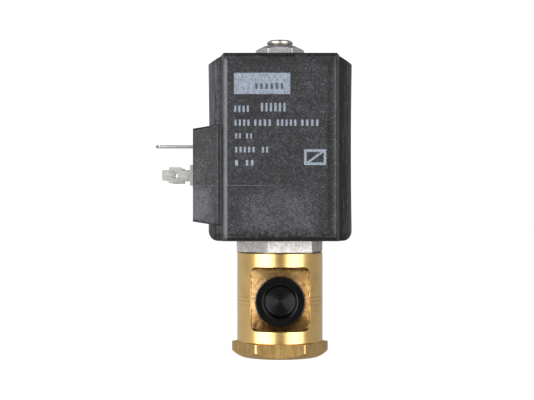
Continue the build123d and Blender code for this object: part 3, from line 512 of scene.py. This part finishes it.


# Painted light and shade on the case, with a few plain lighter and darker patches; the note above
# each entry says which. Above 0 lightens and below 0 darkens: the strength, then the X range, the Z
# range and the softness of the edge, in millimetres.
PAINTED_LIGHT_AND_PATCHES = (
    # Lighter towards the bottom of the panel.
    (0.55, (-13.0, 12.0), (37.0, 52.5), 4.0),
    # Painted shade: a darker band along the bottom.
    (-1.4, (-30.0, 30.0), (30.0, 38.6), 1.4),
    # Painted shade: a darker band along the top.
    (-0.35, (-30.0, 30.0), (87.6, 95.0), 1.6),
    # Darker towards the top left of the panel.
    (-0.3, (-16.0, -2.0), (66.0, 90.0), 8.0),
    # Painted shade: the right side darker.
    (-0.6, (17.0, 30.0), (30.0, 95.0), 0.8),
    # Lighter on the lower part of the connector side.
    (1.2, (-30.0, -19.5), (40.0, 53.0), 3.0),
    # A darker patch on the connector side.
    (-0.4, (-30.0, -21.5), (60.0, 75.0), 5.0),
    # Painted light: the left strip lighter.
    (0.8, (-22.0, -17.9), (70.0, 91.0), 0.8),
    # Painted highlight on the panel's left ridge.
    (2.7, (-17.1, -15.6), (36.0, 90.0), 0.4),
    # Painted light in the shaded slot beside the connector.
    (0.8, (-19.2, -17.4), (40.0, 71.0), 0.4),
    # Painted highlight on the panel's right ridge.
    (0.3, (15.6, 16.9), (34.0, 90.0), 0.5),
    # A darker stripe on the right shoulder.
    (-0.5, (17.3, 18.9), (33.0, 87.0), 0.4),
    # Painted shade beside the panel's right ridge.
    (-0.5, (13.6, 15.4), (34.0, 90.0), 0.6),
)
SHADE_STEP = 0.12
# The shoulders of the case beside the panel, where the moulding is streaked: distances from the
# valve's axis across X and across Y.
SHOULDER_ACROSS = (17.2, 21.9)
SHOULDER_BACK = (7.6, 13.9)
MOULD_LINE = (52.44, 52.76)
MOULD_LINE_END = -5.5
PRINT_COLOUR = (0.23, 0.265, 0.32)


def case_plastic(name):
    """Fine-grained black moulding with lighter and darker patches, painted light and shade and painted ridge
    highlights, a mould line and the pale print.
    """
    look = Shader(name, Specular_IOR_Level=0.35)
    x, y, z = look.axis("X"), look.axis("Y"), look.axis("Z")
    grain = look.noise(look.stretched(), 1.7, 2.0, 0.8)
    blotch = look.noise(look.stretched(), 0.6, 4.0, 0.75)
    cloud = look.noise(look.stretched(), 0.22, 5.0, 0.65)
    streak = look.noise(look.stretched(1.6, 1.6, 0.08), 1.0, 3.0, 0.6)
    tone = look.plus(look.times(grain, 0.5), look.times(blotch, 0.35))
    tone = look.plus(tone, look.times(cloud, 0.15))
    beside_panel = look.between(look.size(x), *SHOULDER_ACROSS, 0.05)
    behind_panel = look.between(look.size(y), *SHOULDER_BACK, 0.3)
    shoulder = look.times(beside_panel, behind_panel)
    tone = look.plus(tone, look.times(shoulder, look.times(look.minus(streak, 0.5), 0.8)))
    wavy = look.plus(z, look.times(look.minus(blotch, 0.5), 7.0))
    shade = None
    # Paints the light and shade of the table, with its plain patches, into the tone.
    for strength, across, up, soft in PAINTED_LIGHT_AND_PATCHES:
        patch = look.times(look.between(x, *across, soft), look.between(wavy, *up, soft))
        patch = look.times(patch, SHADE_STEP * strength)
        shade = patch if shade is None else look.plus(shade, patch)
    tone = look.plus(tone, shade)
    seam = look.between(z, *MOULD_LINE, 0.1)
    seam = look.times(seam, look.math("LESS_THAN", x, MOULD_LINE_END))
    tone = look.plus(tone, look.times(seam, 0.16))
    # The top stop is reached where the painted highlights and the lighter patches raise the tone.
    black = look.ramp(
        tone,
        (0.37, (0.004, 0.004, 0.0045)),
        (0.50, (0.0175, 0.0175, 0.0195)),
        (0.64, (0.070, 0.070, 0.078)),
        (0.90, (0.125, 0.125, 0.135)),
        smooth=False,
    )
    look.set("Base Color", look.mix(front_print(look), black, PRINT_COLOUR))
    look.set("Roughness", look.plus(look.times(tone, 0.3), 0.23))
    look.set("Normal", look.bump(seam, 0.05, look.bump(grain, 0.02, look.bump(blotch, 0.05))))
    return look.material


def gloss_plastic(name, base, roughness, gloss):
    """Shader of smooth black polyethylene with faint flow marks."""
    look = Shader(name, Specular_IOR_Level=gloss)
    flow = look.noise(look.stretched(), 0.8, 3.0, 0.6)
    look.set("Base Color", look.ramp(flow, (0.3, 0.5 * base), (0.7, 1.5 * base)))
    look.set("Roughness", look.plus(look.times(flow, 0.1), roughness - 0.05))
    look.set("Normal", look.bump(flow, 0.012))
    return look


def ringed_plastic(name):
    """Floor of the plug's recess, with the mould's turned rings."""
    look = gloss_plastic(name, 0.002, 0.24, 0.30)
    look.spread_across_rings("Y", 0.97)
    return look.material


def moulded(name, bright, dark, roughness):
    """Plain moulded plastic, rubber or tape with a fine grain."""
    look = Shader(name)
    grain = look.noise(look.stretched(), 1.8, 3.0, 0.6)
    look.set("Base Color", look.ramp(grain, (0.3, dark), (0.7, bright)))
    look.set("Roughness", look.plus(look.times(grain, 0.2), roughness - 0.1))
    look.set("Normal", look.bump(grain, 0.01))
    return look.material


WIRE_PITCH = 0.25


def wound_copper(name):
    """Enamelled wire laid in even turns up the bobbin."""
    look = Shader(name, Metallic=1.0)
    turns = look.math("SINE", look.times(look.axis("Z"), 2 * math.pi / WIRE_PITCH))
    cloud = look.noise(look.stretched(), 0.4, 3.0)
    look.set("Base Color", look.ramp(cloud, (0.3, (0.55, 0.20, 0.09)), (0.7, (0.75, 0.33, 0.17))))
    look.set("Roughness", look.plus(look.times(cloud, 0.1), 0.2))
    look.set("Normal", look.bump(turns, 0.05))
    return look.material


# One material for each slot of the record, with the bright and the dark colour of its mottle.
BRASS_BRIGHT = (0.84, 0.56, 0.20)
BRASS_DARK = (0.68, 0.42, 0.13)
materials = {
    "body_brass": turned_brass("turned_brass", BRASS_BRIGHT, BRASS_DARK, 0.29, 0.0015, WITNESS_LEVELS),
    "plug_brass": brushed_metal(
        "brushed_brass", (0.67, 0.44, 0.165), (0.46, 0.29, 0.105), 0.32, (2.2, 2.2, 0.15), 0.012
    ),
    "insert_brass": turned_brass("insert_brass", BRASS_BRIGHT, BRASS_DARK, 0.3, 0.004),
    "seal_rubber": moulded("seal_rubber", (0.030, 0.030, 0.031), (0.015, 0.015, 0.016), 0.6),
    "stainless_steel": brushed_metal(
        "drawn_stainless", (0.62, 0.60, 0.58), (0.5, 0.49, 0.47), 0.3, (2.0, 2.0, 0.1), 0.004
    ),
    "blasted_steel": blasted_steel("blasted_steel"),
    "core_steel": brushed_metal(
        "turned_core_steel", (0.50, 0.475, 0.43), (0.38, 0.36, 0.325), 0.36, (0.4, 0.4, 6.0), 0.004
    ),
    "spring_steel": brushed_metal(
        "spring_wire", (0.5, 0.5, 0.5), (0.38, 0.38, 0.38), 0.3, (2, 2, 2), 0.003
    ),
    "frame_steel": brushed_metal(
        "plated_frame", (0.55, 0.56, 0.58), (0.42, 0.42, 0.44), 0.4, (1.2, 1.2, 1.2), 0.006
    ),
    "zinc_steel": brushed_metal(
        "zinc_plate", (0.66, 0.64, 0.66), (0.44, 0.43, 0.45), 0.34, (2.2, 2.2, 2.2), 0.012
    ),
    "copper": wound_copper("wound_copper"),
    "case_plastic": case_plastic("case_plastic"),
    "bobbin_plastic": moulded("bobbin_plastic", (0.50, 0.46, 0.38), (0.40, 0.36, 0.29), 0.5),
    "tape": moulded("winding_tape", (0.75, 0.58, 0.16), (0.62, 0.46, 0.12), 0.35),
    "tinned_blade": brushed_metal(
        "tinned_blade", (0.50, 0.49, 0.47), (0.36, 0.355, 0.34), 0.38, (0.6, 4.0, 4.0), 0.006
    ),
    "plug_plastic": gloss_plastic("plug_plastic", 0.002, 0.08, 0.38).material,
}
# The milled flats and the spotfaces: faced brass with painted shade.
FLAT_BRASS = faced_brass("milled_flat", (0.84, 0.55, 0.22), (0.54, 0.31, 0.11), 0.29, 0.96)
SPOT_BRASS = faced_brass("spotface", (0.82, 0.52, 0.24), (0.50, 0.27, 0.10), 0.27, 0.98)
RECESS_FLOOR = ringed_plastic("ringed_plastic")


# ------------------------------------------------------------------ geometry helpers

# Points nearer than these, in metres, are joined: before anything else, and after rounding.
WELD_DISTANCE = 1e-7
SLIVER_DISTANCE = 5e-7
FLAT_DEGREES = 0.4
SHARP_DEGREES = 28
LATHE_STEPS = 128


def add_piece(name, mesh, node):
    """Object that stands for a CAD node: it rides on the node's body and has the node's slot."""
    piece = bpy.data.objects.new(name, mesh)
    bpy.context.scene.collection.objects.link(piece)
    if not mesh.materials:
        mesh.materials.append(materials[slot_of[node]])
    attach(piece, body_of[node])
    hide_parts(node)


def in_metres(x, y, z):
    return Vector((x, y, z)) * MM


def round_edges(work, width_of, segments):
    """Round the sharp edges of a bmesh; width_of gives an edge's width in millimetres, or 0 to leave it."""
    chosen = {}
    for edge in work.edges:
        if edge.is_manifold and edge.calc_face_angle(0) > math.radians(SHARP_DEGREES):
            chosen.setdefault(width_of(edge), []).append(edge)
    chosen.pop(0, None)
    for width, edges in chosen.items():
        bmesh.ops.bevel(
            work,
            geom=edges,
            offset=width * MM,
            offset_type="OFFSET",
            segments=segments,
            profile=0.5,
            affect="EDGES",
            clamp_overlap=True,
            miter_outer="ARC",
        )


def smooth_mesh(work, name):
    """Mesh made from a bmesh, with smooth faces."""
    for face in work.faces:
        face.smooth = True
    mesh = bpy.data.meshes.new(name + "_mesh")
    work.to_mesh(mesh)
    work.free()
    return mesh


def refined(node, edge_mm, width_first=None):
    """Mesh of a CAD node with its flat faces joined up and its sharp edges rounded.

    A function width_first picks the edges that are rounded before the others, and how wide.
    """
    work = bmesh.new()
    work.from_mesh(nodes[node].data)
    bmesh.ops.remove_doubles(work, verts=work.verts, dist=WELD_DISTANCE)
    flat = math.radians(FLAT_DEGREES)
    bmesh.ops.dissolve_limit(work, angle_limit=flat, verts=work.verts, edges=work.edges)
    if width_first is not None:
        round_edges(work, width_first, segments=4)
    round_edges(work, lambda edge: edge_mm, segments=3)
    bmesh.ops.remove_doubles(work, verts=work.verts, dist=SLIVER_DISTANCE)
    bmesh.ops.dissolve_degenerate(work, dist=SLIVER_DISTANCE, edges=work.edges)
    return smooth_mesh(work, node)


def even_normals(mesh, sharp_degrees=38, round_radius=None):
    """Shading normals that keep flat faces flat and rounded edges soft.

    Faces that lie on a bar of the round radius about +Z are shaded as truly round.
    """
    around = [[] for _ in mesh.vertices]
    for face in mesh.polygons:
        for corner in face.vertices:
            around[corner].append((face.normal.copy(), face.area))
    limit = math.cos(math.radians(sharp_degrees))
    normals = []
    for face in mesh.polygons:
        outward = Vector((face.center.x, face.center.y, 0))
        on_bar = round_radius is not None and abs(outward.length / MM - round_radius) < 0.06
        on_bar = on_bar and face.normal.dot(outward.normalized()) > 0.99
        for corner in face.vertices:
            place = mesh.vertices[corner].co
            total = Vector()
            for normal, area in around[corner]:
                if normal.dot(face.normal) > limit:
                    total += normal * area
            if on_bar:
                total = Vector((place.x, place.y, 0))
            normals.append(total.normalized() if total.length > 0 else face.normal.copy())
    mesh.normals_split_custom_set(normals)


def refine_node(node, edge_mm):
    mesh = refined(node, edge_mm)
    even_normals(mesh)
    add_piece(node + "_shell", mesh, node)


def swept_round(name, outline_at, angles, place):
    """Solid round an axis; outline_at(angle) gives its (radius, height) points in millimetres there."""
    work = bmesh.new()
    steps = len(angles)
    columns = [outline_at(angle) for angle in angles]
    rings = []
    for level_points in zip(*columns):
        if max(radius for radius, height in level_points) < 1e-6:
            rings.append([work.verts.new(place(0.0, 0.0, level_points[0][1]))])
            continue
        ring = []
        for angle, (radius, height) in zip(angles, level_points):
            ring.append(work.verts.new(place(radius * math.cos(angle), radius * math.sin(angle), height)))
        rings.append(ring)
    for low, high in zip(rings, rings[1:]):
        for step in range(steps):
            after = (step + 1) % steps
            if len(low) == 1:
                work.faces.new((low[0], high[after], high[step]))
            elif len(high) == 1:
                work.faces.new((low[step], low[after], high[0]))
            else:
                work.faces.new((low[step], low[after], high[after], high[step]))
    bmesh.ops.remove_doubles(work, verts=work.verts, dist=WELD_DISTANCE)
    bmesh.ops.recalc_face_normals(work, faces=work.faces)
    return smooth_mesh(work, name)


def lathe(name, outline, place):
    """Closed solid turned from (radius, height) points in millimetres; place maps to metres."""
    angles = [2 * math.pi * step / LATHE_STEPS for step in range(LATHE_STEPS)]
    return swept_round(name, lambda angle: outline, angles, place)


def arc(centre, radius, start, end, steps):
    """Points of an arc in an outline, angles in degrees."""
    points = []
    for step in range(steps + 1):
        angle = math.radians(start + (end - start) * step / steps)
        points.append((centre[0] + radius * math.cos(angle), centre[1] + radius * math.sin(angle)))
    return points


def helix_cut(along, angle, pitch):
    """Depth of a screw thread's cut, from 0 at a crest to 1 at a root."""
    phase = (along / pitch - angle / (2 * math.pi)) % 1.0
    return 1.0 - abs(2.0 * phase - 1.0)


# ------------------------------------------------------------------ pieces

def pocket_side(edge):
    """0.05 for the upright edges where the milled flats run out of the bar: they are nearly sharp."""
    ends = [vertex.co / MM for vertex in edge.verts]
    run_out = math.sqrt(BAR_RADIUS**2 - FLAT_REACH**2)
    at_run_out = all(abs(abs(end.y) - FLAT_REACH) < 0.2 and abs(end.x) > run_out - 0.24 for end in ends)
    return 0.05 if at_run_out else 0


def cut_port_threads(mesh):
    """Cut the screw thread of both ports outward from the bore as a true helix."""
    work = bmesh.new()
    work.from_mesh(mesh)
    bore, pitch, run_out = (PORT_THREAD[key] for key in ("minor_radius", "pitch", "run_out"))
    mouth, end = PORT_THREAD["mouth"], PORT_THREAD["end"]

    def place(vertex):
        """Angle round the port axis, radius from it and reach along it, in millimetres."""
        x, y, z = vertex.co / MM
        return math.atan2(z - PORT_LEVEL, x), math.hypot(x, z - PORT_LEVEL), abs(y)

    def along_bore(edge):
        on_wall = all(abs(place(vertex)[1] - bore) < 0.05 for vertex in edge.verts)
        inside = all(end - 0.3 < place(vertex)[2] < mouth + 0.1 for vertex in edge.verts)
        return on_wall and inside and abs(edge.verts[0].co.y - edge.verts[1].co.y) > pitch * MM

    walls = [edge for edge in work.edges if along_bore(edge)]
    cut = bmesh.ops.subdivide_edges(work, edges=walls, cuts=PORT_THREAD_CUTS)
    for vertex in cut["geom_inner"]:
        if not isinstance(vertex, bmesh.types.BMVert):
            continue
        angle, radius, reach = place(vertex)
        fade = max(min(1.0, (mouth - reach) / run_out, (reach - end) / run_out), 0.0)
        grown = 1.0 + PORT_THREAD["depth"] * helix_cut(reach, angle, pitch) * fade / radius
        vertex.co.x *= grown
        vertex.co.z = (PORT_LEVEL + (vertex.co.z / MM - PORT_LEVEL) * grown) * MM
    work.to_mesh(mesh)
    work.free()


def make_valve_body():
    """Body with threaded ports and its own finish on the milled flats and on the spotfaces, which carries
    painted shade.
    """
    mesh = refined("valve_body", edge_mm=0.18, width_first=pocket_side)
    cut_port_threads(mesh)
    for material in (materials["body_brass"], FLAT_BRASS, SPOT_BRASS):
        mesh.materials.append(material)
    fillet_reach = FLAT_REACH + POCKET_FLOOR_FILLET
    for face in mesh.polygons:
        x, y, z = face.center / MM
        on_bar = abs(math.hypot(x, y) - BAR_RADIUS) < 0.05
        in_pocket = abs(x) < POCKET_HALF_WIDTH and abs(z - PORT_LEVEL) < POCKET_HALF_HEIGHT
        if in_pocket and not on_bar and FLAT_REACH - 0.15 < abs(y) < fillet_reach + 0.1:
            face.material_index = 1
        elif abs(face.normal.y) > 0.9 and abs(abs(y) - SPOTFACE_REACH) < 0.15:
            face.material_index = 2
    even_normals(mesh, round_radius=BAR_RADIUS)
    add_piece("valve_body_shell", mesh, "valve_body")


# Heights between which the floor of a plug's recess lies, outward from the spotface.
RECESS_FLOOR_RANGE = (-1.0, -0.55)


def make_port_plug(name, side):
    """Push-in plug: flat rim, a bead inside it, and a recess whose floor shows the mould's rings.

    Heights in the outline are measured outward from the spotface.
    """
    stem = [(0.0, -1.68), (6.3, -1.68)] + arc((6.35, -1.43), 0.25, -90, 0, 4) + [(6.6, -0.02)]
    rim = [(7.4, 0.0)] + arc((7.4, 0.25), 0.25, -80, 0, 4) + [(7.65, 0.85)] + arc((7.3, 0.9), 0.35, 0, 90, 6)
    bead = [(5.9, 1.2)] + arc((5.45, 0.98), 0.28, 80, 175, 7)
    recess = [(5.1, 0.6), (4.62, 0.0)] + arc((4.2, -0.35), 0.3, 0, -90, 4) + [(2.0, -0.72), (0.0, -0.8)]

    def place(across, up, out):
        return in_metres(across, side * (SPOTFACE_REACH + out), PORT_LEVEL + up)

    mesh = lathe(name, stem + rim + bead + recess, place)
    mesh.materials.append(materials["plug_plastic"])
    mesh.materials.append(RECESS_FLOOR)
    low, high = RECESS_FLOOR_RANGE
    for face in mesh.polygons:
        out = side * face.center.y / MM - SPOTFACE_REACH
        if low < out < high and side * face.normal.y > 0.5:
            face.material_index = 1
    add_piece(name + "_moulding", mesh, name)


def make_fixed_core():
    """Core with its groove, its collar and the screw thread of the stud cut as a true helix."""
    inner, outer = GROOVE_RADII
    outline = [(0.0, CORE_LOW), (inner, CORE_LOW), (inner, GROOVE_TOP), (outer, GROOVE_TOP)]
    outline += [(outer, CORE_LOW), (CORE_RADIUS, CORE_LOW), (CORE_RADIUS, COLLAR_LOW)]
    outline += [(COLLAR_RADIUS, COLLAR_LOW), (COLLAR_RADIUS, STUD_FOOT), (STUD_RADIUS, STUD_FOOT)]
    chamfer_foot = STUD_TOP - STUD_CHAMFER_HEIGHT
    steps = int((chamfer_foot - STUD_FOOT) / STUD_RING_STEP)
    outline += [(STUD_RADIUS, STUD_FOOT + STUD_RING_STEP * step) for step in range(1, steps)]
    outline += [(STUD_RADIUS, chamfer_foot), (STUD_RADIUS - STUD_CHAMFER_WIDTH, STUD_TOP)]
    outline += [(1.1, STUD_TOP), (0.9, STUD_TOP - 0.5), (0.0, STUD_TOP - 1.0)]
    mesh = lathe("fixed_core", outline, in_metres)
    thread_end = STUD_TOP - PLAIN_END
    for vertex in mesh.vertices:
        x, y, z = vertex.co / MM
        radius = math.hypot(x, y)
        if z <= STUD_FOOT + 0.05 or z > thread_end or radius < STUD_RADIUS - 0.01:
            continue
        fade = min(1.0, (thread_end - z) / THREAD_RUN_OUT)
        shrink = 1.0 - THREAD_DEPTH * helix_cut(z, math.atan2(y, x), THREAD_PITCH) * fade / radius
        vertex.co.x *= shrink
        vertex.co.y *= shrink
    even_normals(mesh)
    add_piece("fixed_core_turned", mesh, "fixed_core")


def make_coil_nut():
    """Hexagon nut with rounded corners and a turned chamfer on its top."""
    flat, rounding = NUT_FLAT_REACH, NUT_CORNER_ROUNDING
    low, high = level("coil_nut", 0.0), level("coil_nut", 1.0)
    corner = (flat - rounding) / math.cos(math.pi / 6)
    half_flat = math.atan(corner * 0.5 / flat)
    past_flat = math.pi / 3 - 2 * half_flat
    angles = []
    for side in range(6):
        middle = math.pi / 6 + side * math.pi / 3
        angles += [middle - half_flat + 2 * half_flat * step / 6 for step in range(7)]
        angles += [middle + half_flat + past_flat * step / 7 for step in range(1, 7)]

    def outline_at(angle):
        off_flat = (angle % (math.pi / 3)) - math.pi / 6
        if abs(off_flat) <= half_flat + 1e-9:
            reach = flat / math.cos(off_flat)
        else:
            off_corner = math.pi / 6 - abs(off_flat)
            across = corner * math.sin(off_corner)
            reach = corner * math.cos(off_corner) + math.sqrt(rounding**2 - across**2)
        crease = high - (reach - NUT_FACE) * math.tan(math.radians(NUT_CHAMFER_ANGLE))
        outside = [(NUT_BORE, low), (reach, low), (reach, crease), (NUT_FACE, high)]
        return outside + [(NUT_BORE, high), (NUT_BORE, low)]

    mesh = swept_round("coil_nut", outline_at, angles, in_metres)
    even_normals(mesh, sharp_degrees=20)
    add_piece("coil_nut_shell", mesh, "coil_nut")


add_camera()
add_world(left=0.60, right=0.45, front=0.35, above=0.35, below=0.85, backdrop=1.1)
add_softbox("softbox_left", azimuth=-42, distance=0.9, height=0.12, width=0.80, tall=0.9, power=10.5)
add_softbox("softbox_right", azimuth=40, distance=0.9, height=0.12, width=0.74, tall=0.9, power=8.0)
add_floor()
bpy.context.scene.view_settings.view_transform = "Standard"

for node, thing in nodes.items():
    thing.data.materials.clear()
    thing.data.materials.append(materials[slot_of[node]])

make_valve_body()
make_port_plug("port_plug_front", -1)
make_port_plug("port_plug_back", 1)
make_fixed_core()
refine_node("coil_case", edge_mm=0.35)
refine_node("bottom_plug", edge_mm=0.15)
refine_node("tube_flange", edge_mm=0.25)
make_coil_nut()
for thin_node in ("nut_washer", "earth_terminal", "power_terminal_1", "power_terminal_2"):
    refine_node(thin_node, edge_mm=0.12)
